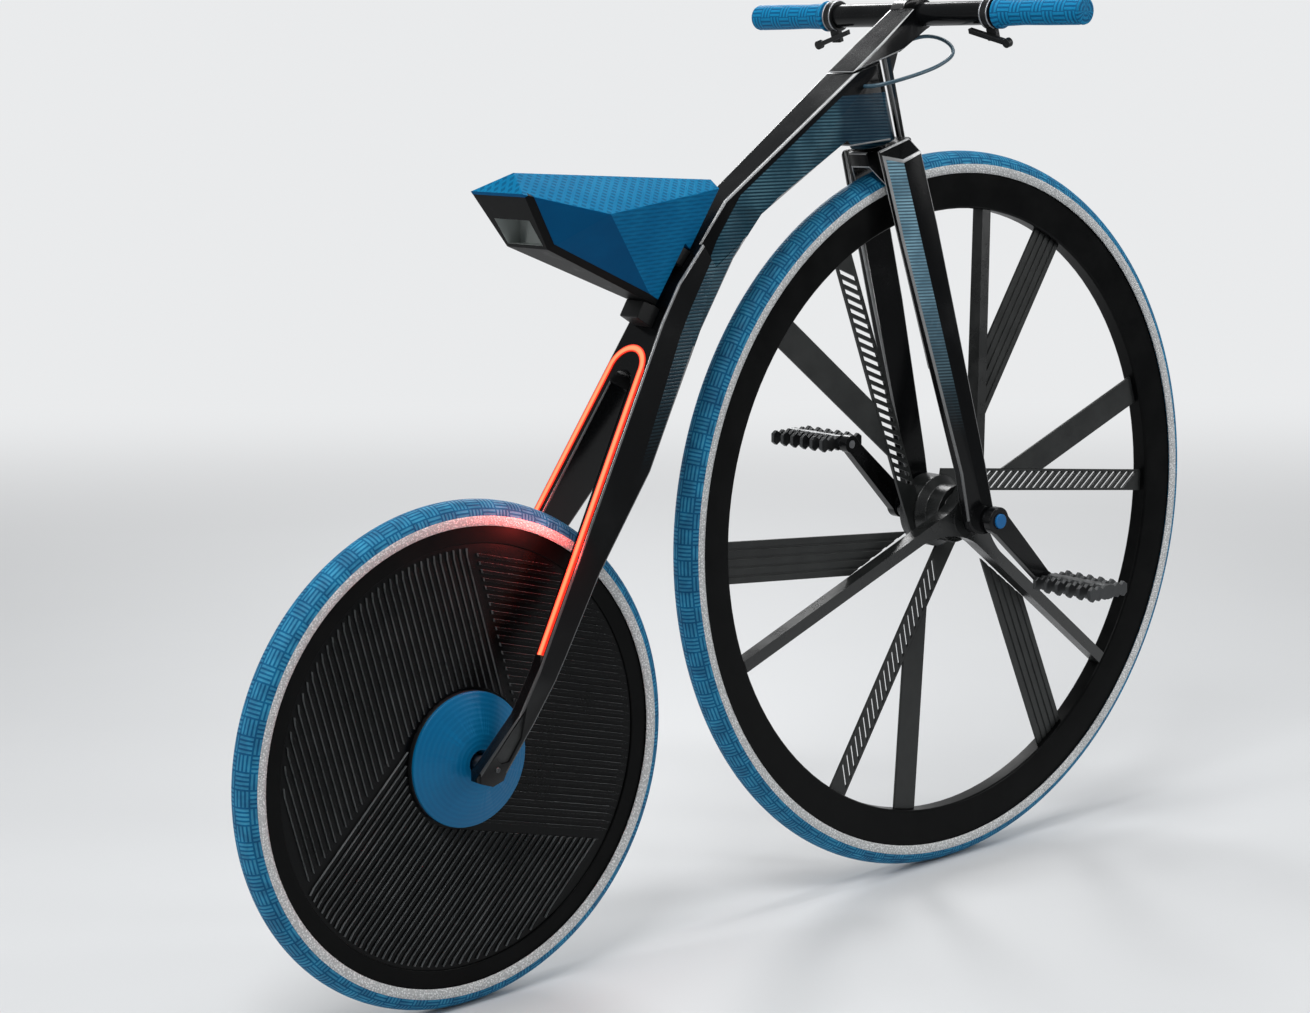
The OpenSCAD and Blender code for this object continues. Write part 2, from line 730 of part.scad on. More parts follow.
// A band along the lined straps' way that ends at its main spoke
module lined_part(k, offset, width) {
    rotate(120 * k) difference() {
        rotate(strap_lined[0]) translate([0, offset - width / 2]) square([front_seat, width]);
        rotate(spoke_phase) translate([-far / 2, spoke_offset - spoke_width / 2]) square(far);
    }
}
module smooth_straps() {
    placed() color("#1d1e20")
    on_front_axle() for (k = [0 : 2]) intersection() {
        across(4 * hub_radius) rotate(120 * k) difference() {
            rotate(strap_smooth[0]) strap_band(strap_smooth);
            rotate(strap_hatched[0]) translate([-far / 2, strap_hatched[1] + strap_hatched[2] / 2 - far]) square(far);
        }
        strap_ring(strap_smooth);
    }
}
module hatched_straps() {
    placed() color("#17181a")
    on_front_axle() for (k = [0 : 2]) intersection() {
        across(4 * hub_radius) rotate(120 * k + strap_hatched[0]) difference() {
            strap_band(strap_hatched);
            for (x = [hatch_from : hatch_pitch : hatch_to]) hatch_slot_at(x);
        }
        strap_ring(strap_hatched);
    }
}
// A slanted slot through a hatched strap
module hatch_slot_at(x) {
    half = strap_hatched[2] / 2 - hatch_edge;
    slant = half / tan(hatch_lean);
    translate([x, strap_hatched[1]]) polygon([[-slant - hatch_slot / 2, -half], [-slant + hatch_slot / 2, -half],
        [slant + hatch_slot / 2, half], [slant - hatch_slot / 2, half]]);
}
module front_axle() {
    placed() color("#6d7074")
    on_front_axle() shaft(-crank_outer, crank_outer, axle_radius);
}
module crank() {
    difference() {
        union() {
            shaft(-crank_outer, -crank_inner, crank_boss);
            translate([0, -crank_inner - crank_thickness / 2, 0]) across(crank_thickness)
                polygon([[0, crank_waist], [crank_length, crank_tip], [crank_length, -crank_tip], [0, -crank_waist]]);
            translate([crank_length, 0, 0]) shaft(-crank_outer, -crank_inner, crank_end);
        }
        shaft(-crank_outer - over, -crank_inner + over, axle_radius);
        translate([crank_length, 0, 0]) shaft(-crank_outer - over, -crank_inner + over, spindle_radius);
    }
}
module on_crank_right() { on_front_axle() rotate([0, crank_drop, 0]) children(); }
module on_crank_left() { on_front_axle() rotate([0, crank_drop, 0]) rotate([0, 0, 180]) children(); }
module crank_left() {
    placed() color("#0b0b0d") on_crank_left() crank();
}
module crank_right() {
    placed() color("#0b0b0d") on_crank_right() crank();
}
module axle_cap() {
    translate([0, -crank_outer - cap_thickness, 0]) shaft(0, cap_thickness, axle_radius);
}
module axle_cap_left() {
    placed() color("#1769b5") on_crank_left() axle_cap();
}
module axle_cap_right() {
    placed() color("#1769b5") on_crank_right() axle_cap();
}
module pedal_spindle() {
    translate([crank_length, 0, 0]) shaft(-pedal_inner - pedal_length + pedal_plate, -crank_inner, spindle_radius);
}
module pedal_spindle_left() {
    placed() color("#6d7074") on_crank_left() pedal_spindle();
}
module pedal_spindle_right() {
    placed() color("#6d7074") on_crank_right() pedal_spindle();
}
module pedal() {
    step = (pedal_length - pedal_plate) / (pedal_plates - 1);
    difference() {
        union() {
            shaft(-pedal_inner - pedal_length, -pedal_inner, pedal_core);
            for (k = [0 : pedal_plates - 1])
                translate([0, -pedal_inner - pedal_plate / 2 - k * step, 0]) across(pedal_plate) pedal_side();
        }
        shaft(-pedal_inner - pedal_length + pedal_plate, -pedal_inner + over, spindle_radius + running_fit);
    }
}
// A pedal plate from the side, toothed along the top and the bottom
module pedal_side() {
    n = 2 * pedal_teeth;
    top = [for (i = [0 : n]) [pedal_reach * (i / n - 1 / 2), pedal_tall / 2 - (i % 2 == 0 ? pedal_tooth : 0)]];
    polygon(concat(top, [for (i = [n : -1 : 0]) [top[i].x, -top[i].y]]));
}
module pedal_left() {
    placed() color("#9aa0a6") on_crank_left() translate([crank_length, 0, 0]) rotate([0, crank_drop, 0]) pedal();
}
module pedal_right() {
    placed() color("#9aa0a6") on_crank_right() translate([crank_length, 0, 0]) rotate([0, -crank_drop, 0]) pedal();
}

// Rear wheel

module rear_tyre() {
    placed() color("#1769b5")
    on_rear_axle() about_axle() tyre_section(rear_radius);
}
module rear_rim() {
    placed() color("#17181a")
    on_rear_axle() about_axle()
        polygon([[rear_rim_inner, -disc_half - rim_lip / 2], [rear_seat, -rim_width / 2], [rear_seat, rim_width / 2],
            [rear_rim_inner, disc_half + rim_lip / 2]]);
}
module rear_disc() {
    placed() color("#17181a")
    on_rear_axle() union() {
        about_axle() polygon([[motor_radius, -disc_half], [rear_rim_inner, -disc_half], [rear_rim_inner, disc_half],
            [motor_radius, disc_half]]);
        for (field = [0 : rib_fields - 1], i = [0 : ribs - 1])
            across(2 * rib_half) rotate(rib_phase + 360 / rib_fields * field) rib(rib_pitch * (i + 1) - motor_radius);
    }
}
// One rib at a height above the field's middle, from the motor hub or the next field to a point at the rim
module rib(height) {
    low = height - rib_width / 2;
    high = height + rib_width / 2;
    reach = sqrt(pow(rib_outer, 2) - pow(height, 2));
    polygon([[rib_start(low), low], [reach - rib_point, low], [reach, height], [reach - rib_point, high],
        [rib_start(high), high]]);
}
function rib_start(y) = y > (motor_radius + rib_width) / 2
    ? (motor_radius + rib_width - y / 2) / sin(120)
    : sqrt(max(pow(motor_radius + rib_width, 2) - pow(y, 2), 0));
module motor_hub() {
    placed() color("#2a2a2d")
    on_rear_axle() about_axle()
        translate([rear_axle_radius + running_fit, -motor_half])
            square([motor_radius - rear_axle_radius - running_fit, 2 * motor_half]);
}
module hub_cover() {
    about_axle() polygon([[cover_bore, motor_half], [motor_radius, motor_half], [motor_radius, motor_half + cover_edge],
        [cover_crown, motor_half + cover_height], [cover_bore, motor_half + cover_height]]);
}
module hub_cover_left() {
    placed() color("#1769b5") on_rear_axle() hub_cover();
}
module hub_cover_right() {
    placed() color("#1769b5") on_rear_axle() mirror([0, 1, 0]) hub_cover();
}

frame();
light_strip();
saddle_cover();
saddle_shell();
saddle_brackets();
rear_axle();
fork();
steerer();
stem();
handlebar();
grip_left();
grip_right();
lever_clamp_left();
lever_clamp_right();
brake_lever_left();
brake_lever_right();
brake_hose();
front_tyre();
front_rim();
front_hub();
main_spokes();
lined_straps();
smooth_straps();
hatched_straps();
front_axle();
crank_left();
crank_right();
axle_cap_left();
axle_cap_right();
pedal_spindle_left();
pedal_spindle_right();
pedal_left();
pedal_right();
rear_tyre();
rear_rim();
rear_disc();
motor_hub();
hub_cover_left();
hub_cover_right();
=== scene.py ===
import bpy
import bmesh
import json
import math
from mathutils import Matrix, Vector

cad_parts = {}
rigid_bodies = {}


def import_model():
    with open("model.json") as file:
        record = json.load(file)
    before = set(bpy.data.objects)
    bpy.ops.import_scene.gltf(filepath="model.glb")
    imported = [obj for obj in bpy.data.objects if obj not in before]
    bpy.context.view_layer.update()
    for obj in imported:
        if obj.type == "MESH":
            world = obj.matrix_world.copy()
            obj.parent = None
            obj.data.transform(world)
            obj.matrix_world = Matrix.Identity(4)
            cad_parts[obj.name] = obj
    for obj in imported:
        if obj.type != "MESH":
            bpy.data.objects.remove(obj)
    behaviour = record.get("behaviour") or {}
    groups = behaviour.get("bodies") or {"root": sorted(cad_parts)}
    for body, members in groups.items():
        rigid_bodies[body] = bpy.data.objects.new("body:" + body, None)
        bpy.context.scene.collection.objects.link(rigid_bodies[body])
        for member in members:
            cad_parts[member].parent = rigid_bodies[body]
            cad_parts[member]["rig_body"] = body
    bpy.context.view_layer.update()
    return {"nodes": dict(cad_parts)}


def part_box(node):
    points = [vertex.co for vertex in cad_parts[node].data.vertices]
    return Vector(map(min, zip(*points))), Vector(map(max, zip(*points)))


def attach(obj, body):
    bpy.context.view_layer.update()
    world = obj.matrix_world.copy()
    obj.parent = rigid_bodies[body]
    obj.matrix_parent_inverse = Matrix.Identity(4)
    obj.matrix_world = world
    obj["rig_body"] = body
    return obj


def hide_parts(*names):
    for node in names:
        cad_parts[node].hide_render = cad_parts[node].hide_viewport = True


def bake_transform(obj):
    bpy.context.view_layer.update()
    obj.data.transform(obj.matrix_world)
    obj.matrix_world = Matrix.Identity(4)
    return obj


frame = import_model()
nodes = frame["nodes"]
scene = bpy.context.scene
scene.view_settings.view_transform = "Standard"
print("frame loaded:", len(nodes), "nodes")


def middle(node):
    low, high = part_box(node)
    return (low + high) / 2


frontAxle = middle("front_axle")
rearAxle = middle("rear_axle")
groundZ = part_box("front_tyre")[0].z
lean = math.radians(16.5)        # steering axis, back from upright
stayLean = math.radians(31.1)    # stays, forward from upright
leanCos, leanSin = math.cos(lean), math.sin(lean)
stayCos, staySin = math.cos(stayLean), math.sin(stayLean)


class Wire:
    # one socket of a material, so that sums on it become nodes
    def __init__(self, tree, socket):
        self.tree, self.socket = tree, socket

    def node(self, kind, settings={}, links={}, out=0):
        made = self.tree.nodes.new(kind)
        for key, value in settings.items():
            setattr(made, key, value)
        for key, value in links.items():
            if isinstance(value, Wire):
                self.tree.links.new(value.socket, made.inputs[key])
            else:
                made.inputs[key].default_value = value
        return Wire(self.tree, made.outputs[out])

    def outs(self):    # every output of the node that this socket is on
        return [Wire(self.tree, o) for o in self.socket.node.outputs]

    def maths(self, operation, *values):
        return self.node("ShaderNodeMath", {"operation": operation}, dict(enumerate(values)))

    def __add__(self, other): return self.maths("ADD", self, other)
    def __radd__(self, other): return self.maths("ADD", other, self)
    def __sub__(self, other): return self.maths("SUBTRACT", self, other)
    def __rsub__(self, other): return self.maths("SUBTRACT", other, self)
    def __mul__(self, other): return self.maths("MULTIPLY", self, other)
    def __rmul__(self, other): return self.maths("MULTIPLY", other, self)
    def __truediv__(self, other): return self.maths("DIVIDE", self, other)
    def __rtruediv__(self, other): return self.maths("DIVIDE", other, self)
    def __gt__(self, other): return self.maths("GREATER_THAN", self, other)
    def __abs__(self): return self.maths("ABSOLUTE", self)
    def least(self, other): return self.maths("MINIMUM", self, other)
    def most(self, other): return self.maths("MAXIMUM", self, other)
    def whole(self): return self.maths("FLOOR", self)
    def part(self): return self.maths("FRACT", self)
    def root(self): return self.maths("SQRT", self)

    def ease(self, low, high):    # 0 at low, 1 at high, smooth between
        return self.node("ShaderNodeMapRange", {"interpolation_type": "SMOOTHSTEP"},
                         {"Value": self, "From Min": low, "From Max": high})

    def axes(self):
        return self.node("ShaderNodeSeparateXYZ", {}, {0: self}).outs()

    def grain(self, scale, detail=3.0, rough=0.55):
        return self.node("ShaderNodeTexNoise", {},
                         {"Vector": self, "Scale": scale, "Detail": detail, "Roughness": rough})

    def cells(self, scale):
        return self.node("ShaderNodeTexVoronoi", {}, {"Vector": self, "Scale": scale})

    def between(self, first, second):    # self as the mix of two colours
        shades = [c if isinstance(c, Wire) else (*c, 1) for c in (first, second)]
        return self.node("ShaderNodeMix", {"data_type": "RGBA"}, {0: self, 6: shades[0], 7: shades[1]}, out=2)

    def bump(self, strength, depth):
        return self.node("ShaderNodeBump", {}, {"Height": self, "Strength": strength, "Distance": depth})


class Finish:
    # a material with its shader, and places on the piece to reckon from
    def __init__(self, name):
        self.material = bpy.data.materials.new(name)
        self.material.use_nodes = True
        self.tree = self.material.node_tree
        self.shader = self.tree.nodes["Principled BSDF"]
        coords = Wire(self.tree, None).node("ShaderNodeTexCoord").socket.node.outputs
        self.place, self.flat, self.facing = (Wire(self.tree, coords[k]) for k in ("Object", "UV", "Normal"))

    def set(self, **values):
        for key, value in values.items():
            socket = self.shader.inputs[key.replace("_", " ")]
            if isinstance(value, Wire):
                self.tree.links.new(value.socket, socket)
            elif isinstance(value, (tuple, list)):
                socket.default_value = (*value, 1) if len(value) == 3 else value
            else:
                socket.default_value = value
        return self


glossBlack = {"colour": (0.0035, 0.0038, 0.0042), "dust": (0.011, 0.0115, 0.012), "rough": 0.17, "shine": 0.24,
              "haze": 9, "speck": 900, "peel": 260}    # the last three are grains to a metre


def handled(f, look=glossBlack):
    return f.place.grain(look["haze"], 4).ease(0.42, 0.75)


def paintFinish(name, look=glossBlack):
    # sprayed gloss over a smooth moulding: faint orange peel, a little dust and handling haze
    f = Finish(name)
    haze = handled(f, look)
    speck = f.place.grain(look["speck"], 2).ease(0.62, 0.75)
    f.set(Base_Color=(haze * 0.5 + speck * 0.35).between(look["colour"], look["dust"]),
          Specular_IOR_Level=look["shine"], Roughness=haze * 0.12 + speck * 0.1 + look["rough"],
          Normal=f.place.grain(look["peel"], 2).bump(0.04, 0.0006))
    return f


# pale colours of the painted edge highlight, dark at the foot and bright toward the top
edgeHighlightLook = {"low": (0.045, 0.047, 0.048), "high": (0.36, 0.365, 0.37), "rough": 0.18, "span": (-0.50, 0.02),
            "patchy": 38, "shine": 1.0}


def edgeHighlightFinish(name, look=edgeHighlightLook):
    # painted highlight on the broken edges of the paint: a pale colour, brighter toward the top and patchy along the
    # edge
    f = Finish(name)
    z = f.place.axes()[2]
    patchy = f.place.grain(look["patchy"], 4).ease(0.2, 0.8)
    # painted highlight: the edge colour grows paler with height, unevenly along the edge
    worn = z.ease(*look["span"]) * (0.6 + patchy * 0.4)
    f.set(Base_Color=worn.between(look["low"], look["high"]), Specular_IOR_Level=look["shine"],
          Roughness=look["rough"] + patchy * 0.08, Normal=f.place.grain(glossBlack["peel"], 2).bump(0.03, 0.0005))
    return f


linePanel = {"pitch": 0.0038, "line": (0.030, 0.098, 0.140), "gap": (0.005, 0.026, 0.042),
             "bright": (0.075, 0.165, 0.205)}
bladePanel = {"pitch": 0.0038, "line": (0.155, 0.325, 0.435), "gap": (0.065, 0.122, 0.160),
              "bright": (0.29, 0.50, 0.60)}
panelSpan = (-0.34, -0.10)    # heights over which the lines come up out of the black
# painted shade: the lines darken where the beam turns into the head, standing for the shade on its turned side
headTurnShade = {"from": 0.336, "to": 0.348, "share": 0.60, "shade": (0.0, 0.012, 0.030)}
# slope, x and z of each straight stretch of the panel's upper edge
panelEdge = {"rows": ((0.688, 0.3438, 0.0767), (1.27, 0.1916, -0.028), (1.66, 0.1536, -0.0763),
                      (1.90, 0.1084, -0.1513)), "cap": (0.05, 0.0, 0.062), "soft": 0.0012}


def panelFinish(name, edge=None, look=linePanel, shine=glossBlack["shine"]):
    # gloss black with a panel of fine level lines that fade out toward the foot
    f = Finish(name)
    x, y, z = f.place.axes()
    inside = z.ease(*panelSpan)
    if edge:
        tops = [(x - atX) * slope + atZ for slope, atX, atZ in (*edge["rows"], edge["cap"])]
        top = tops[0]
        for other in tops[1:]:
            top = top.least(other)
        inside = inside * (top - z).ease(0.0, edge["soft"])
    wander = f.place.grain(30, 3).ease(0.35, 0.7)
    band = abs((z / look["pitch"]).part() - 0.5).ease(0.33, 0.17)
    haze = handled(f)
    paint = (haze * 0.5).between(glossBlack["colour"], glossBlack["dust"])
    lit = (band * (0.55 + wander * 0.45)).between(look["gap"], (wander * 0.6).between(look["line"], look["bright"]))
    if edge:
        # painted shade over the lines toward the head
        lit = (x.ease(headTurnShade["from"], headTurnShade["to"]) * headTurnShade["share"]).between(lit, headTurnShade["shade"])
    f.set(Base_Color=inside.between(paint, lit), Specular_IOR_Level=shine,
          Roughness=glossBlack["rough"] + inside * 0.12 + haze * 0.08, Normal=(band * inside).bump(0.3, 0.0005))
    return f


def satinFinish(name, colour=(0.008, 0.0084, 0.0088), rough=0.40, shine=0.28):
    f = Finish(name)
    grit = f.place.grain(1400, 2)
    wear = f.place.grain(40, 5).ease(0.55, 0.8)
    pale = tuple(c * 2.0 + 0.004 for c in colour)
    f.set(Base_Color=(wear * 0.5).between(colour, pale), Roughness=rough + grit * 0.12 - wear * 0.08,
          Specular_IOR_Level=shine, Normal=grit.bump(0.12, 0.0003))
    return f


def compositeFinish(name, colour, pale, rough, shine):
    # short fibre filled moulding: flow marks, tiny flecks and a soft sheen
    f = Finish(name)
    flow = f.place.grain(24, 6, 0.65).ease(0.3, 0.75)
    fleck = f.place.cells(1100).ease(0.30, 0.08)
    grit = f.place.grain(700, 3)
    f.set(Base_Color=(flow * 0.6 + fleck * 0.25).between(colour, pale), Specular_IOR_Level=shine,
          Roughness=rough + flow * 0.12 + grit * 0.06, Normal=grit.bump(0.1, 0.0003))
    return f


treadLook = {"deep": (0.002, 0.070, 0.175), "mid": (0.003, 0.145, 0.315), "line": (0.055, 0.34, 0.54),
             "cell": 0.0185, "linesPerCell": 4, "shine": 0.16, "stripe": (0.90, 0.91, 0.91),
             "soil": (0.24, 0.25, 0.255)}


def treadFinish(name, wraps, acrossLength):
    # woven squares of short ridges, turned a quarter from one square to the next; U runs round, V across
    f = Finish(name)
    u, v, _ = f.flat.axes()
    rows = round(acrossLength / treadLook["cell"])
    along, over = u * wraps, v * rows
    turned = ((along.whole() + over.whole()) / 2).part() > 0.25
    inAlong, inOver = along.part(), over.part()
    ridgeA = (inAlong * treadLook["linesPerCell"]).part()
    ridgeB = (inOver * treadLook["linesPerCell"]).part()
    ridge = turned * ridgeA + (1 - turned) * ridgeB
    raised = abs(ridge - 0.5).ease(0.36, 0.20)
    edge = abs(inAlong - 0.5).most(abs(inOver - 0.5)).ease(0.47, 0.43)
    raised = raised * edge
    worn = f.place.grain(60, 4).ease(0.3, 0.8)
    body = worn.between(treadLook["deep"], treadLook["mid"])
    f.set(Base_Color=(raised * (0.35 + worn * 0.5)).between(body, treadLook["line"]),
          Roughness=0.62 - raised * 0.12 + worn * 0.08, Specular_IOR_Level=treadLook["shine"],
          Normal=raised.bump(0.5, 0.0012))
    return f


def stripeFinish(name):
    # retroreflective woven tape: slanted knit stitches with raised beads, their glints painted as bright specks in the
    # colour
    f = Finish(name)
    u, v, _ = f.flat.axes()
    stitch = abs((u * 900 + v * 3).part() - 0.5).ease(0.46, 0.2) * abs((v * 8).part() - 0.5).ease(0.5, 0.25)
    beadAndGlint = f.place.cells(430).ease(0.60, 0.22)
    dirt = f.place.grain(120, 4).ease(0.5, 0.8)
    # painted glints: the colour is whitest at the bead centres
    shade = dirt * 0.2 + (1 - beadAndGlint) * 0.55 + (1 - stitch) * 0.12
    f.set(Base_Color=shade.between(treadLook["stripe"], treadLook["soil"]), Roughness=0.5,
          Normal=(beadAndGlint * 0.7 + stitch * 0.3).bump(0.8, 0.0010))
    return f


saddleLook = {"topDeep": (0.000, 0.115, 0.255), "topPale": (0.006, 0.175, 0.345), "frontDeep": (0.000, 0.125, 0.300),
              "frontPale": (0.006, 0.190, 0.405), "rearDeep": (0.0005, 0.066, 0.182), "rearPale": (0.001, 0.092, 0.235),
              "dots": 0.0120, "ribs": 0.0044, "dotShade": (0.0, 0.05, 0.13),
              "ribShade": (0.0, 0.04, 0.11), "shine": 0.06}


def saddleFinish(name, look=saddleLook):
    # dotted knit on top, level broken ribs on the front flanks and plain cloth on the rear flanks
    f = Finish(name)
    x, y, z = f.place.axes()
    nx, ny, nz = f.facing.axes()
    top, front = nz.ease(0.64, 0.72), nx.ease(-0.03, 0.09)
    cloud = f.place.grain(14, 4).ease(0.3, 0.75)
    yarn = f.place.cells(1300).ease(0.1, 0.6)
    a, b = ((x + y) / look["dots"]).part(), ((x - y) / look["dots"]).part()
    dot = abs(a - 0.5).most(abs(b - 0.5)).ease(0.36, 0.20)
    row = z / look["ribs"]
    dash = ((x - y) / (look["ribs"] * 4.5) + (row.whole() / 2).part()).part()
    rib = abs(row.part() - 0.5 + (abs(dash - 0.5) - 0.25) * 0.4).ease(0.45, 0.15)
    topCloth = (cloud * 0.6 + yarn * 0.4).between(look["topDeep"], look["topPale"])
    frontCloth = (cloud * 0.8 + yarn * 0.2).between(look["frontDeep"], look["frontPale"])
    knit = (dot * 0.6).between(topCloth, look["dotShade"])
    ribbed = ((1 - rib) * 0.38).between(frontCloth, look["ribShade"])
    plain = (cloud * 0.7 + yarn * 0.3).between(look["rearDeep"], look["rearPale"])
    relief = top * (1 - dot) + (1 - top) * (front * rib) + yarn * 0.2
    f.set(Base_Color=top.between(front.between(plain, ribbed), knit), Roughness=0.58 + yarn * 0.1 + top * 0.06,
          Specular_IOR_Level=look["shine"], Normal=relief.bump(0.4, 0.0007))
    return f


capLook = {"colour": (0.004, 0.12, 0.34), "pale": (0.01, 0.19, 0.45), "rough": 0.35, "pores": 1300, "depth": 0.0002,
           "flecks": 0.15, "shine": 0.3}


def capFinish(name, look=capLook):
    f = Finish(name)
    cloud = f.place.grain(18, 4).ease(0.3, 0.75)
    pore = f.place.cells(look["pores"]).ease(0.15, 0.55)
    f.set(Base_Color=(cloud * 0.5 + (1 - pore) * look["flecks"]).between(look["colour"], look["pale"]),
          Roughness=look["rough"] + pore * 0.1, Specular_IOR_Level=look["shine"], Normal=pore.bump(0.35, look["depth"]))
    return f


coverLook = {"colour": (0.000, 0.115, 0.27), "pale": (0.001, 0.180, 0.385), "pitch": 0.0052,
             "rough": 0.30, "shine": 0.22}


def ringedFinish(name, centre, look=coverLook):
    # turned cover: fine rings about the axle
    f = Finish(name)
    x, y, z = f.place.axes()
    dx, dz = x - centre.x, z - centre.z
    ring = abs(((dx * dx + dz * dz).root() / look["pitch"]).part() - 0.5).ease(0.1, 0.42)
    cloud = f.place.grain(14, 4).ease(0.3, 0.8)
    f.set(Base_Color=(cloud * 0.4 + ring * 0.18).between(look["colour"], look["pale"]),
          Roughness=look["rough"] + ring * 0.1, Specular_IOR_Level=look["shine"], Normal=ring.bump(0.16, 0.0008))
    return f


brushing = (30, 900, 900)    # grains to a metre along each axis


def steelFinish(name, colour=(0.42, 0.43, 0.45), rough=0.28):
    f = Finish(name)
    drawn = f.place.node("ShaderNodeVectorMath", {"operation": "MULTIPLY"}, {0: f.place, 1: brushing})
    brushed = drawn.grain(1, 3)
    stain = f.place.grain(70, 4).ease(0.45, 0.8)
    f.set(Base_Color=(stain * 0.5).between(colour, tuple(c * 0.5 for c in colour)), Metallic=1.0,
          Roughness=rough + brushed * 0.18 + stain * 0.1, Normal=brushed.bump(0.12, 0.0003))
    return f


stripLook = {"archRadius": 0.026, "archS": 0.462, "splay": 34 / 333, "deep": (0.80, 0.022, 0.010),
             "hot": (1.0, 0.34, 0.15), "lens": (0.45, 0.03, 0.012), "rough": 0.3, "glow": 1.15}


def lightFinish(name, look=stripLook):
    # lit strip behind a diffusing lens: hot along its middle line, deep red at its edges, a little uneven
    f = Finish(name)
    x, y, z = f.place.axes()
    s = (x - rearAxle.x) * staySin + (z - rearAxle.z) * stayCos - look["archS"]
    above, below = s.most(0.0), (0.0 - s).most(0.0)
    away = (y * y + above * above).root() - look["archRadius"] - below * look["splay"]
    core = abs(away).ease(0.0038, 0.0014) * (0.85 + f.place.grain(35, 3) * 0.3)
    f.set(Base_Color=look["lens"], Roughness=look["rough"], Emission_Color=core.between(look["deep"], look["hot"]),
          Emission_Strength=look["glow"])
    return f


def hoseFinish(name, colour=(0.026, 0.064, 0.092), rough=0.32):
    f = Finish(name)
    grit = f.place.grain(500, 2)
    f.set(Base_Color=grit.between(colour, tuple(c * 1.25 for c in colour)), Roughness=rough + grit * 0.1,
          Normal=grit.bump(0.1, 0.0003))
    return f


compositeTable = {    # colour, pale, rough, shine
    "pocketFinish": ((0.020, 0.0212, 0.0215), (0.055, 0.057, 0.057), 0.5, 0.3),
    "strapComposite": ((0.012, 0.0132, 0.013), (0.030, 0.0325, 0.0315), 0.36, 0.34),
    "spokeComposite": ((0.008, 0.0088, 0.0087), (0.018, 0.0193, 0.019), 0.22, 0.55),
    "rimComposite": ((0.0016, 0.0018, 0.0019), (0.0045, 0.0048, 0.0048), 0.26, 0.07),
    "discComposite": ((0.0014, 0.0017, 0.0019), (0.004, 0.0045, 0.0048), 0.24, 0.12),
    # the last row is a pale painted highlight for the disc's rib walls
    "ribHighlight": ((0.10, 0.108, 0.111), (0.24, 0.252, 0.256), 0.22, 0.8)}
composite = {name: compositeFinish(name, *row) for name, row in compositeTable.items()}
frameGloss = paintFinish("frameGloss")
forkGloss = paintFinish("forkGloss", {**glossBlack, "shine": 0.13})
# painted highlight for the broken edges of the frame, fork and stem
edgeHighlightPaint = edgeHighlightFinish("edgeHighlightPaint")
framePanel = panelFinish("framePanel", panelEdge)
headPanel = panelFinish("headPanel", panelEdge, shine=0.08)
forkPanel = panelFinish("forkPanel", look=bladePanel)
satinBlack = satinFinish("satinBlack")
tailGrey = satinFinish("tailGrey", (0.004, 0.0044, 0.0045), 0.42, 0.08)
slotGrey = satinFinish("slotGrey", (0.30, 0.325, 0.315), 0.45)
steel = steelFinish("steel")
pedalMetal = steelFinish("pedalMetal", (0.085, 0.088, 0.09), 0.30)
stripLight = lightFinish("stripLight")
capBlue = capFinish("capBlue")
coverBlue = ringedFinish("coverBlue", rearAxle)
saddleCloth = saddleFinish("saddleCloth")
hoseSkin = hoseFinish("hoseSkin")
tapeFinish = stripeFinish("reflectiveTape")
print("finishes made")


def bodyOf(node):
    return nodes[node]["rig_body"]


def added(name, mesh, finishes, body, replaced=()):
    piece = bpy.data.objects.new(name, mesh)
    scene.collection.objects.link(piece)
    for f in finishes:
        mesh.materials.append(f.material)
    if body:
        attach(piece, body)
    if replaced:
        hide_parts(*replaced)
    return piece


solid = {"weld": 1e-5, "flat": 0.4, "corner": 28, "broad": 0.0005}    # metres, degrees, degrees, square metres


def cleaned(node):
    # the node's solid with its flat faces whole again
    bm = bmesh.new()
    bm.from_mesh(nodes[node].data)
    bmesh.ops.remove_doubles(bm, verts=bm.verts, dist=solid["weld"])
    bmesh.ops.dissolve_limit(bm, angle_limit=math.radians(solid["flat"]), verts=bm.verts, edges=bm.edges)
    return bm


def creases(bm, degrees):
    return [e for e in bm.edges if len(e.link_faces) == 2 and e.calc_face_angle(0) > math.radians(degrees)]


def breakEdges(bm, edges, width, segments, clamp, slot=-1):
    bmesh.ops.bevel(bm, geom=edges, offset=width, offset_type="OFFSET", segments=segments, profile=0.5,
                    affect="EDGES", clamp_overlap=clamp, material=slot)


def rounded(node, width, finishes, pick=None, segments=2, edgeSlot=-1, run=0.0):
    # the node's solid with its edges broken, as moulded and painted pieces have them
    # with a run, only edges longer than it are broken, in the mesh itself and with the finish at edgeSlot
    bm = cleaned(node)
    for face in bm.faces:
        face.material_index = pick(face) if pick else 0
    if run:
        edges = [e for e in creases(bm, solid["corner"]) if e.is_convex and e.calc_length() > run
                 and min(f.calc_area() for f in e.link_faces) > solid["broad"]]
        breakEdges(bm, edges, width, segments, False, edgeSlot)
    for face in bm.faces:
        face.smooth = True
    mesh = bpy.data.meshes.new(node + "_rounded")
    bm.to_mesh(mesh)
    bm.free()
    piece = added(node + "_rounded", mesh, finishes, bodyOf(node), (node,))
    if not run:
        edge = piece.modifiers.new("edges", "BEVEL")
        edge.width, edge.segments, edge.limit_method = width, segments, "ANGLE"
        edge.angle_limit = math.radians(solid["corner"])
    normals = piece.modifiers.new("normals", "WEIGHTED_NORMAL")
    normals.keep_sharp = True
    return piece


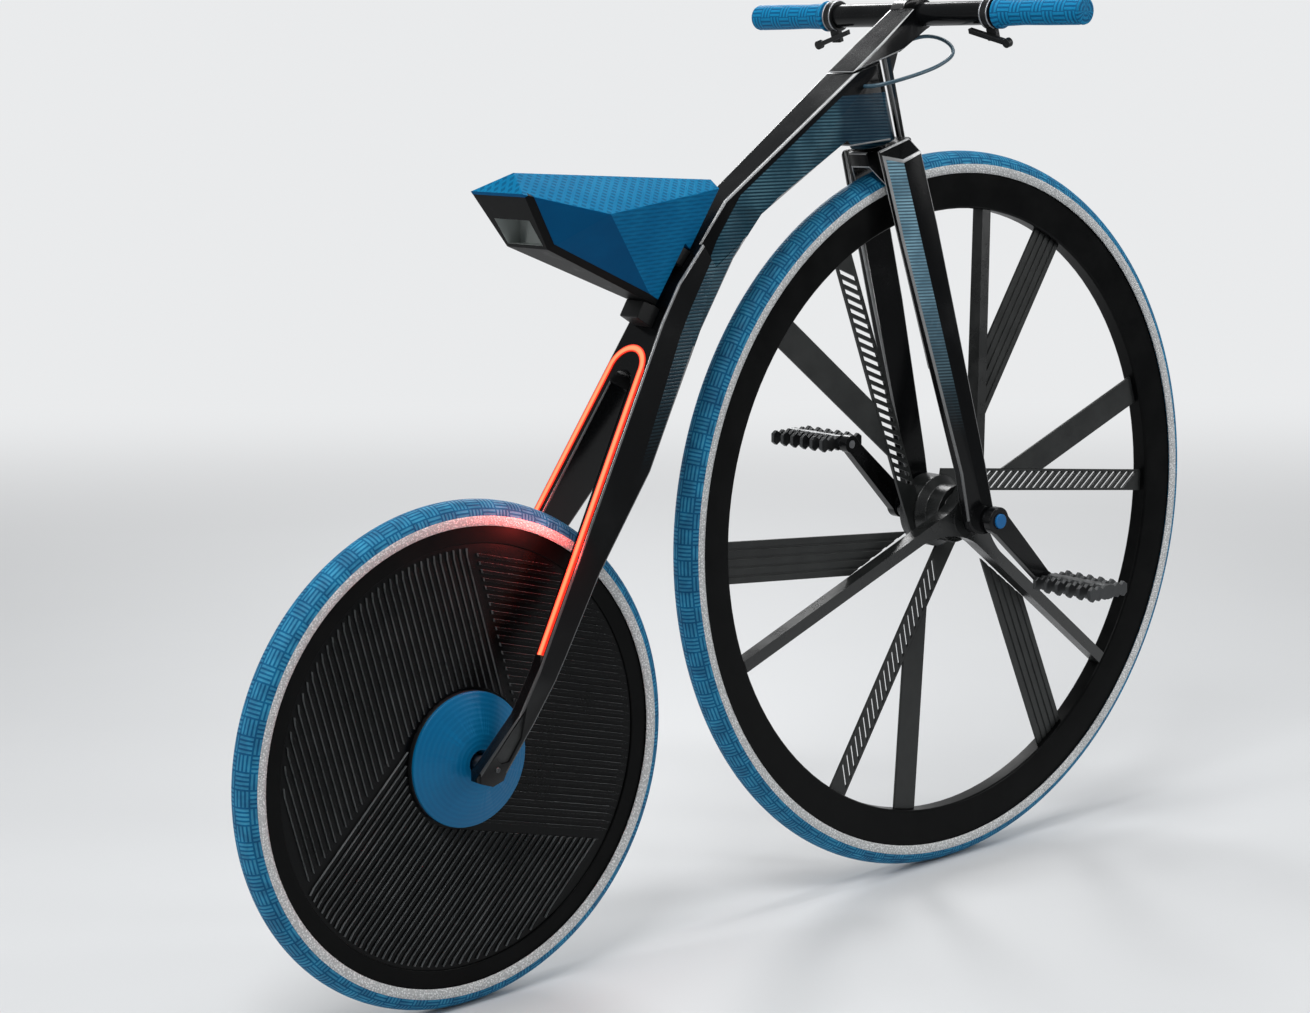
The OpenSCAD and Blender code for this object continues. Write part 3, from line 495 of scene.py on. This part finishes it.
def lathe(name, profile, centre, steps, closed=True):
    # a ring of profile points (radius, place along Y) turned about the axle; U runs round and V along the profile
    mesh = bpy.data.meshes.new(name)
    count = len(profile)
    verts = []
    for k in range(steps):
        a = 2 * math.pi * k / steps
        for r, y in profile:
            verts.append((centre.x + r * math.cos(a), centre.y + y, centre.z + r * math.sin(a)))
    lengths = [0.0]
    last = profile + [profile[0]] if closed else profile
    for (r0, y0), (r1, y1) in zip(last, last[1:]):
        lengths.append(lengths[-1] + math.hypot(r1 - r0, y1 - y0))
    faces, uvs = [], []
    spans = count if closed else count - 1
    for k in range(steps):
        m = (k + 1) % steps
        for i in range(spans):
            j = (i + 1) % count
            faces.append((k * count + i, k * count + j, m * count + j, m * count + i))
            u0, u1 = k / steps, (k + 1) / steps
            v0, v1 = lengths[i] / lengths[-1], lengths[i + 1] / lengths[-1]
            uvs += [(u0, v0), (u0, v1), (u1, v1), (u1, v0)]
    mesh.from_pydata(verts, [], faces)
    layer = mesh.uv_layers.new(name="run")
    for loop, uv in zip(layer.data, uvs):
        loop.uv = uv
    for face in mesh.polygons:
        face.use_smooth = True
    return mesh, lengths[-1]


tyre = {"height": 0.024, "steps": 288, "across": 40, "tapeInner": -0.0024, "tapeOuter": 0.0098, "tapeProud": 0.0006,
        "tapeSunk": 0.0002, "tapeThick": 0.0012, "tapeAcross": 6}


def addTyre(node, label):
    # tread and walls as one crowned ring, with a reflective tape on each wall
    low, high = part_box(node)
    centre = (low + high) / 2
    outer, half = (high.x - low.x) / 2, (high.y - low.y) / 2
    seat, core = outer - tyre["height"], outer - half
    start = math.asin((seat - core) / half)
    count = tyre["across"]
    sweep = [start + (math.pi - 2 * start) * i / count for i in range(count + 1)]
    profile = [(core + half * math.sin(a), half * math.cos(a)) for a in sweep]
    mesh, length = lathe(label + "_tread", profile, centre, tyre["steps"])
    wraps = round(2 * math.pi * outer / treadLook["cell"] / 2) * 2
    tread = treadFinish(label + "Tread", wraps, length)
    added(label + "_tread", mesh, [tread], bodyOf(node), (node,))
    for side, sideName in ((-1, "right"), (1, "left")):
        tape = []
        for i in range(tyre["tapeAcross"] + 1):
            share = i / tyre["tapeAcross"]
            r = seat + tyre["tapeInner"] + (tyre["tapeOuter"] - tyre["tapeInner"]) * share
            wall = math.sqrt(max(half * half - (r - core) ** 2, 0))
            tape.append((r, side * (wall + tyre["tapeProud"] * math.sin(math.pi * share) - tyre["tapeSunk"])))
        under = [(r, y - side * tyre["tapeThick"]) for r, y in reversed(tape)]
        ring = tape + under if side > 0 else under[::-1] + tape[::-1]
        strip, _ = lathe(label + "_tape_" + sideName, ring, centre, tyre["steps"])
        added(strip.name, strip, [tapeFinish], bodyOf(node))


addTyre("front_tyre", "front")
addTyre("rear_tyre", "rear")
print("tyres made")


def stayPlace(p):
    # a row place seen along the stays from the rear axle
    d = p - rearAxle
    return Vector((d.x * stayCos - d.z * staySin, d.y, d.x * staySin + d.z * stayCos))


def fromStays(n, y, s):
    return rearAxle + Vector((n * stayCos + s * staySin, y, -n * staySin + s * stayCos))


handSlot = {"centre": fromStays(-0.206, 0, 0.5227), "reach": 0.045, "square": 0.98}


def slotWall(face):
    # walls of the hand slot look into it
    toSlot = handSlot["centre"] - face.calc_center_median()
    inward = toSlot.length < handSlot["reach"] and toSlot.dot(face.normal) > 0
    return 1 if inward and max(map(abs, face.normal)) > handSlot["square"] else 0


pocket = {"s": (0.005, 0.1), "y": (0.064, 0.0685), "square": 0.9}
head = {"s": 0.6, "x": 0.33, "level": 0.6}
sideFacing = 0.45


def frameFacet(face):
    # side facets carry the lined panel, the dropouts' leaf pockets a rough floor, the head its darker panel
    at = face.calc_center_median()
    p = stayPlace(at)
    deep = pocket["s"][0] < p.z < pocket["s"][1] and pocket["y"][0] < abs(p.y) < pocket["y"][1]
    if deep and abs(face.normal.y) > pocket["square"]:
        return 2
    if p.z > head["s"] and at.x > head["x"] and abs(face.normal.z) < head["level"]:
        return 4
    return 1 if abs(face.normal.y) > sideFacing else 0


blade = {"rear": -0.2, "side": (0.5, 0.97), "broad": 0.004}


def forkFacet(face):
    # the blades' slanted rear outer facets carry the lined panel
    n = face.normal
    rear = n.x * leanCos + n.z * leanSin < blade["rear"]
    slanted = blade["side"][0] < abs(n.y) < blade["side"][1]
    return 1 if rear and slanted and face.calc_area() > blade["broad"] else 0


ribWallSpan = (0.0125, 0.0145)    # between the disc's plate and the tops of its ribs


def discFacet(face):
    # the ribs' walls get the pale finish: painted highlight, as if they catch the light
    return 1 if ribWallSpan[0] < abs(face.calc_center_median().y - rearAxle.y) < ribWallSpan[1] else 0


rounded("frame", 0.0025, [frameGloss, framePanel, composite["pocketFinish"], edgeHighlightPaint, headPanel],
        frameFacet, segments=3, edgeSlot=3, run=0.03)
rounded("fork", 0.0022, [forkGloss, forkPanel, edgeHighlightPaint], forkFacet, segments=3, edgeSlot=2, run=0.02)
rounded("stem", 0.0022, [frameGloss, edgeHighlightPaint], segments=3, edgeSlot=1, run=0.012)
rounded("light_strip", 0.0008, [stripLight])
rounded("saddle_shell", 0.0014, [tailGrey, slotGrey], slotWall)
rounded("front_rim", 0.0030, [composite["rimComposite"]], segments=3)
rounded("rear_disc", 0.0007, [composite["discComposite"], composite["ribHighlight"]], discFacet,
        segments=1)
plainPieces = (    # node, edge, finish, slot
    ("crank_left", 0.0015, frameGloss, "gloss_black"), ("crank_right", 0.0015, frameGloss, "gloss_black"),
    ("saddle_brackets", 0.0015, satinBlack, "satin_black"), ("motor_hub", 0.0010, satinBlack, "satin_black"),
    ("lever_clamp_left", 0.0010, satinBlack, "satin_black"), ("lever_clamp_right", 0.0010, satinBlack, "satin_black"),
    ("brake_lever_left", 0.0015, satinBlack, "satin_black"), ("brake_lever_right", 0.0015, satinBlack, "satin_black"),
    ("pedal_left", 0.0007, pedalMetal, "pedal_metal"), ("pedal_right", 0.0007, pedalMetal, "pedal_metal"),
    ("hub_cover_left", 0.0012, coverBlue, "blue_plastic"), ("hub_cover_right", 0.0012, coverBlue, "blue_plastic"),
    ("axle_cap_left", 0.0006, capBlue, "blue_plastic"), ("axle_cap_right", 0.0006, capBlue, "blue_plastic"),
    ("main_spokes", 0.0008, composite["spokeComposite"], "dark_composite"),
    ("front_hub", 0.0008, composite["spokeComposite"], "dark_composite"),
    ("lined_straps", 0.0008, composite["strapComposite"], "dark_composite"),
    ("smooth_straps", 0.0008, composite["strapComposite"], "dark_composite"),
    ("hatched_straps", 0.0008, composite["strapComposite"], "dark_composite"),
    ("rear_rim", 0.0015, composite["rimComposite"], "dark_composite"))
for node, width, finish, slotName in plainPieces:
    rounded(node, width, [finish])
for node, finish in (("handlebar", frameGloss), ("steerer", steel), ("rear_axle", steel), ("front_axle", steel),
                     ("pedal_spindle_left", steel), ("pedal_spindle_right", steel)):
    nodes[node].data.materials.clear()
    nodes[node].data.materials.append(finish.material)
print("solids dressed")


grip = {"flange": 0.0185, "body": 0.0155, "waist": 0.0147, "end": 0.0148, "bore": 0.0120, "steps": 96,
        "round": 6, "along": 9, "ridges": 3, "deep": (0.000, 0.075, 0.195),
        "pale": (0.004, 0.215, 0.435), "shine": 0.15}


def gripFinish(name):
    # squares with a ridge bundle that turns from one to the next
    f = Finish(name)
    u, v, _ = f.flat.axes()
    along, over = u * grip["round"], v * grip["along"]
    turned = ((along.whole() + over.whole()) / 2).part() > 0.25
    ridge = turned * (along * grip["ridges"]).part() + (1 - turned) * (over * grip["ridges"]).part()
    cut = abs(ridge - 0.5).ease(0.34, 0.22)
    pore = f.place.cells(1200).ease(0.15, 0.5)
    f.set(Base_Color=(cut * 0.8 + pore * 0.15).between(grip["deep"], grip["pale"]), Roughness=0.5 + pore * 0.1,
          Specular_IOR_Level=grip["shine"], Normal=cut.bump(0.5, 0.0008))
    return f


def addGrip(node):
    low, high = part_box(node)
    centre = (low + high) / 2
    length = high.y - low.y
    outward = 1 if centre.y > 0 else -1
    flange, body = grip["flange"], grip["body"]
    # distance from the inner end, and radius there
    shape = [(0.000, grip["bore"]), (0.000, flange - 0.002), (0.0015, flange), (0.0045, flange),
             (0.0075, body + 0.0008), (0.014, body), (0.040, grip["waist"]), (0.075, body - 0.0002),
             (length - 0.010, body), (length - 0.0055, grip["end"]), (length - 0.0035, body),
             (length - 0.0012, body - 0.0006), (length, body - 0.003), (length, 0.0)]
    profile = [(r, outward * (d - length / 2)) for d, r in shape][::outward]
    mesh, _ = lathe(node + "_cover", profile, centre, grip["steps"], closed=False)
    added(node + "_cover", mesh, [gripFinish(node + "Rubber")], bodyOf(node), (node,))


collar = {"inner": 0.0172, "outer": 0.0187, "width": 0.0020, "chamfer": 0.0004, "places": (0.0045, 0.0150), "steps": 64}


def addCollars(node, label):
    # two bright rings on the lever clamp, inside the grip's flange
    low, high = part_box(node)
    centre = (low + high) / 2
    outward = 1 if centre.y > 0 else -1
    end = low.y if outward > 0 else high.y
    inner, outer, c, half = collar["inner"], collar["outer"], collar["chamfer"], collar["width"] / 2
    ring = [(inner, half), (outer - c, half), (outer, half - c), (outer, c - half), (outer - c, -half), (inner, -half)]
    for number, back in enumerate(collar["places"], 1):
        at = Vector((centre.x, end - outward * back, centre.z))
        mesh, _ = lathe("%s_%d" % (label, number), ring, at, collar["steps"])
        added(mesh.name, mesh, [steel], bodyOf(node))


screw = {"radius": 0.0030, "height": 0.0012, "socket": 0.0017, "deep": 0.0010, "sunk": 0.0008, "steps": 32,
         "place": (0.001, 0.070, -0.001)}


def addScrew(name, centre, outward, body):
    # low head with a round socket, turned about its own axis across the frame
    r, h, s, d = (screw[k] for k in ("radius", "height", "socket", "deep"))
    shape = [(r, -screw["sunk"]), (r, h * 0.4), (r * 0.8, h), (s, h), (s, h - d), (0.0, h - d)]
    profile = [(a, outward * b) for a, b in shape][::-outward]
    mesh, _ = lathe(name, profile, centre, screw["steps"], closed=False)
    added(name, mesh, [pedalMetal], body)


for side, sign in (("left", 1), ("right", -1)):
    addGrip("grip_" + side)
    addCollars("grip_" + side, "clamp_ring_" + side)
    n, y, s = screw["place"]
    addScrew("dropout_screw_" + side, fromStays(n, sign * y, s), sign, "frame")
print("grips made")


hose = {"radius": 0.0023, "sides": 12, "points": 40, "fine": 16, "foot": 482,
        # route from under the stem to the head's right side, in steering millimetres above the head's foot
        "route": [(80, -8, 98.5), (89, -10.6, 99), (99.5, -14.6, 98.4), (108.5, -18.6, 96.2), (115.8, -25, 92),
                  (119.5, -35, 85.4), (115.8, -45, 78.9), (107.5, -51.5, 74.6), (94, -55.4, 72), (68, -58, 70.5),
                  (38, -57.5, 71.5), (12, -56, 73.4), (-1, -54.5, 74.4), (-10, -51, 75), (-16.6, -45, 75),
                  (-20.4, -37, 75), (-21, -33, 75), (-21, -24, 75)]}


def fromSteering(p):
    x, y, z = p
    return frontAxle + Vector((x * leanCos - z * leanSin, y, x * leanSin + z * leanCos))


def smoothRoute(points, count):
    # one smooth curve along the points, spaced evenly and eased once
    pts = [2 * points[0] - points[1]] + points + [2 * points[-1] - points[-2]]
    fine = []
    for a, b, c, d in zip(pts, pts[1:], pts[2:], pts[3:]):
        for i in range(hose["fine"]):
            t = i / hose["fine"]
            square, cube = 2 * a - 5 * b + 4 * c - d, 3 * b - a - 3 * c + d
            fine.append(0.5 * ((2 * b) + (c - a) * t + square * t * t + cube * t ** 3))
    fine.append(points[-1])
    reach = [0.0]
    for p, q in zip(fine, fine[1:]):
        reach.append(reach[-1] + (q - p).length)
    out, k = [], 0
    for i in range(count):
        goal = reach[-1] * i / (count - 1)
        while k < len(reach) - 2 and reach[k + 1] < goal:
            k += 1
        span = reach[k + 1] - reach[k]
        out.append(fine[k].lerp(fine[k + 1], (goal - reach[k]) / span if span else 0))
    eased = [p.lerp((a + b) / 2, 0.5) for a, p, b in zip(out[1:], out[2:-2], out[3:])]
    out[2:-2] = eased
    return out, sum((q - p).length for p, q in zip(out, out[1:]))


def tube(name, path, radius, sides):
    mesh = bpy.data.meshes.new(name)
    verts, faces = [], []
    way = (path[1] - path[0]).normalized()
    side = way.orthogonal().normalized()
    for i, p in enumerate(path):
        ahead = path[min(i + 1, len(path) - 1)] - path[max(i - 1, 0)]
        ahead.normalize()
        side = (side - ahead * side.dot(ahead)).normalized()
        up = ahead.cross(side)
        for k in range(sides):
            a = 2 * math.pi * k / sides
            verts.append(p + radius * (math.cos(a) * side + math.sin(a) * up))
    for i in range(len(path) - 1):
        for k in range(sides):
            m = (k + 1) % sides
            faces.append((i * sides + k, i * sides + m, (i + 1) * sides + m, (i + 1) * sides + k))
    faces.append(tuple(range(sides - 1, -1, -1)))
    faces.append(tuple((len(path) - 1) * sides + k for k in range(sides)))
    mesh.from_pydata([tuple(v) for v in verts], [], faces)
    for face in mesh.polygons:
        face.use_smooth = len(face.vertices) == 4
    return mesh


route = [fromSteering((x / 1000, y / 1000, (z + hose["foot"]) / 1000)) for x, y, z in hose["route"]]
hosePath, hoseLength = smoothRoute(route, hose["points"])
hoseMesh = tube("brake_hose_skin", hosePath, hose["radius"], hose["sides"])
hosePiece = added("brake_hose_skin", hoseMesh, [hoseSkin], None, ("brake_hose",))
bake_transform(hosePiece)
print("hose made, length", round(hoseLength, 4))


saddle = {"edge": 0.0045, "sewn": 0.00675, "segments": 4, "grid": 0.008, "sharp": 14, "broad": 0.0012, "smooth": 40,
          "pressure": 4.0, "damping": 4, "cap": 0.0026, "frames": 20, "fill": 0.9}


def cutGrid(bm, axis, low, high, faces):
    # level cuts across the given faces, so that each facet gets even cells
    way = Vector([float(k == axis) for k in range(3)])
    place = low[axis] + saddle["grid"] / 2
    while place < high[axis]:
        picked = [f for f in bm.faces if faces(f)]
        around = list({e for f in picked for e in f.edges}) + list({v for f in picked for v in f.verts})
        bmesh.ops.bisect_plane(bm, geom=picked + around, plane_co=way * place, plane_no=way, dist=solid["weld"])
        place += saddle["grid"]


def swollen(piece, sewn):
    # the cover blown up a little between its seams by a cloth run, which is then set into the mesh
    group = piece.vertex_groups.new(name="sewn")
    group.add(sewn, 1.0, "REPLACE")
    cloth = piece.modifiers.new("swell", "CLOTH")
    cloth.settings.vertex_group_mass = "sewn"
    cloth.settings.use_pressure = True
    cloth.settings.uniform_pressure_force = saddle["pressure"]
    cloth.settings.effector_weights.gravity = 0
    cloth.settings.air_damping = saddle["damping"]
    cloth.point_cache.frame_end = saddle["frames"]
    for number in range(1, saddle["frames"] + 1):
        scene.frame_set(number)
    shape = piece.evaluated_get(bpy.context.evaluated_depsgraph_get()).to_mesh()
    moves = [b.co - a.co for a, b in zip(piece.data.vertices, shape.vertices)]
    for v, move in zip(piece.data.vertices, moves):
        v.co += move * min(1, saddle["cap"] / max(move.length, 1e-9))
    piece.modifiers.clear()
    piece.vertex_groups.clear()
    scene.frame_set(1)
    return max(m.length for m in moves)


def fromSeam(p, seam):
    start, end = seam
    run = end - start
    share = min(max((p - start).dot(run) / run.length_squared, 0), 1)
    return (p - start - share * run).length


def addSaddle(node):
    # firm faceted foam under a stretched cover: seams along the facets' edges, each facet a little crowned between them
    bm = cleaned(node)
    low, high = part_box(node)
    sharp = creases(bm, saddle["sharp"])
    seams = [(e.verts[0].co.copy(), e.verts[1].co.copy()) for e in sharp]
    broad = [e for e in sharp if all(f.calc_area() > saddle["broad"] for f in e.link_faces) and e.is_convex]
    breakEdges(bm, broad, saddle["edge"], saddle["segments"], True)
    for axis, steep in enumerate((0.9, 0.7, 0.7)):    # faces that look along the axis are left out
        cutGrid(bm, axis, low, high, lambda f: abs(f.normal[axis]) < steep)
    bmesh.ops.triangulate(bm, faces=bm.faces)
    sewn = [v.index for v in bm.verts if min(fromSeam(v.co, seam) for seam in seams) < saddle["sewn"]]
    for face in bm.faces:
        face.smooth = True
    for e in bm.edges:
        e.smooth = len(e.link_faces) < 2 or e.calc_face_angle(0) < math.radians(saddle["smooth"])
    mesh = bpy.data.meshes.new("saddle_cushion")
    bm.to_mesh(mesh)
    bm.free()
    piece = added("saddle_cushion", mesh, [saddleCloth], bodyOf(node), (node,))
    print("saddle cloth moved", round(swollen(piece, sewn) * 1000, 2), "mm over", len(mesh.vertices), "points")


addSaddle("saddle_cover")
print("saddle made")


studio = {"size": 60.0, "centre": (0.2, 0.0), "wallAway": 7.5, "wallHigh": 5, "wallSunk": 0.01, "fade": (0.6, 4.5),
          "pale": (0.82, 0.83, 0.84), "floor": (0.66, 0.67, 0.68), "rough": 0.6, "sky": (0.86, 0.88, 0.9),
          "world": 0.26, "ahead": (0.650, 0.760)}    # ahead is the way the camera looks, over the ground
white, red = (1.0, 1.0, 1.0), (1.0, 0.07, 0.06)
lampTable = (    # name, place, aim, width, height, watts, tint
    ("key", (-1.5, -0.9, 2.1), (0.1, 0.0, -0.3), 1.2, 0.8, 44, white),
    ("top", (0.4, 0.0, 2.2), (0.2, 0.0, -0.3), 0.70, 2.6, 40, white),
    ("far", (1.7, 2.0, 1.0), (0.2, 0.0, -0.3), 0.50, 1.6, 24, white),
    ("right", (1.9, -1.7, 0.8), (0.3, 0.0, -0.3), 0.40, 1.6, 18, white),
    ("left", (-2.2, 0.9, 0.7), (0.0, 0.0, -0.4), 0.35, 1.6, 16, white),
    ("stripGlow", fromStays(-0.045, -0.066, 0.275), fromStays(-0.060, -0.010, 0.235), 0.03, 0.10, 0.3, red))


def paleFinish():
    # lit stage near the object that turns into an even pale backdrop beyond it
    f = Finish("stagePale")
    x, y, _ = f.place.axes()
    (cx, cy), (ax, ay) = studio["centre"], studio["ahead"]
    beyond = ((x - cx) * ax + (y - cy) * ay).ease(*studio["fade"])
    path = f.place.node("ShaderNodeLightPath").socket.node.outputs
    seen = Wire(f.tree, path["Is Camera Ray"])
    for kind in ("Is Glossy Ray", "Is Transmission Ray"):
        seen = seen.most(Wire(f.tree, path[kind]))
    paler = tuple(c * 1.03 for c in studio["floor"])
    f.set(Base_Color=f.place.grain(3, 3).between(studio["floor"], paler), Roughness=studio["rough"])
    lit = Wire(f.tree, f.shader.outputs[0])
    glow = f.place.node("ShaderNodeEmission", {}, {"Color": (*studio["pale"], 1), "Strength": 1.0})
    both = f.place.node("ShaderNodeMixShader", {}, {0: beyond * seen, 1: lit, 2: glow})
    f.tree.links.new(both.socket, f.tree.nodes["Material Output"].inputs["Surface"])
    return f


def addStudio():
    pale = paleFinish()
    cx, cy = studio["centre"]
    ax, ay = studio["ahead"]
    half = studio["size"] / 2
    wx, wy = cx + ax * studio["wallAway"], cy + ay * studio["wallAway"]
    foot, crest = groundZ - studio["wallSunk"], groundZ + studio["wallHigh"]
    left, right = (wx - ay * half, wy + ax * half), (wx + ay * half, wy - ax * half)
    around = ((-half, -half), (half, -half), (half, half), (-half, half))
    corners = {"studioFloor": [(cx + dx, cy + dy, groundZ) for dx, dy in around],
               "studioWall": [(*left, foot), (*right, foot), (*right, crest), (*left, crest)]}
    for name, points in corners.items():
        mesh = bpy.data.meshes.new(name)
        mesh.from_pydata(points, [], [(0, 1, 2, 3)])
        mesh.materials.append(pale.material)
        sheet = bpy.data.objects.new(name, mesh)
        scene.collection.objects.link(sheet)
    world = bpy.data.worlds.new("studio")
    scene.world = world
    world.use_nodes = True
    backdrop = world.node_tree.nodes["Background"].inputs
    backdrop["Color"].default_value, backdrop["Strength"].default_value = (*studio["sky"], 1), studio["world"]
    for name, place, aim, width, height, watts, tint in lampTable:
        lamp = bpy.data.lights.new(name, "AREA")
        lamp.shape, lamp.size, lamp.size_y, lamp.energy, lamp.color = "RECTANGLE", width, height, watts, tint
        o = bpy.data.objects.new(name, lamp)
        scene.collection.objects.link(o)
        o.location = place
        o.visible_camera = False
        o.rotation_mode = "QUATERNION"
        o.rotation_quaternion = (Vector(aim) - Vector(place)).to_track_quat("-Z", "Y")


view = {"place": (-1.745664, -2.1311, 0.132211), "azimuth": 40.567, "down": 10.205, "roll": -0.470, "lens": 69.594,
        "sensor": 36.0, "clip": (0.05, 60)}


def addCamera():
    data = bpy.data.cameras.new("view")
    data.lens, data.sensor_width, data.sensor_fit = view["lens"], view["sensor"], "HORIZONTAL"
    data.clip_start, data.clip_end = view["clip"]
    camera = bpy.data.objects.new("view", data)
    scene.collection.objects.link(camera)
    az, el, roll = (math.radians(view[k]) for k in ("azimuth", "down", "roll"))
    ahead = Vector((math.sin(az) * math.cos(el), math.cos(az) * math.cos(el), -math.sin(el)))
    right = Vector((math.cos(az), -math.sin(az), 0))
    up = right.cross(ahead)
    tiltedRight = math.cos(roll) * right + math.sin(roll) * up
    tiltedUp = -math.sin(roll) * right + math.cos(roll) * up
    turn = Matrix((tiltedRight, tiltedUp, -ahead)).transposed()
    camera.matrix_world = Matrix.Translation(Vector(view["place"])) @ turn.to_4x4()
    scene.camera = camera


addStudio()
addCamera()
print("studio and camera set")
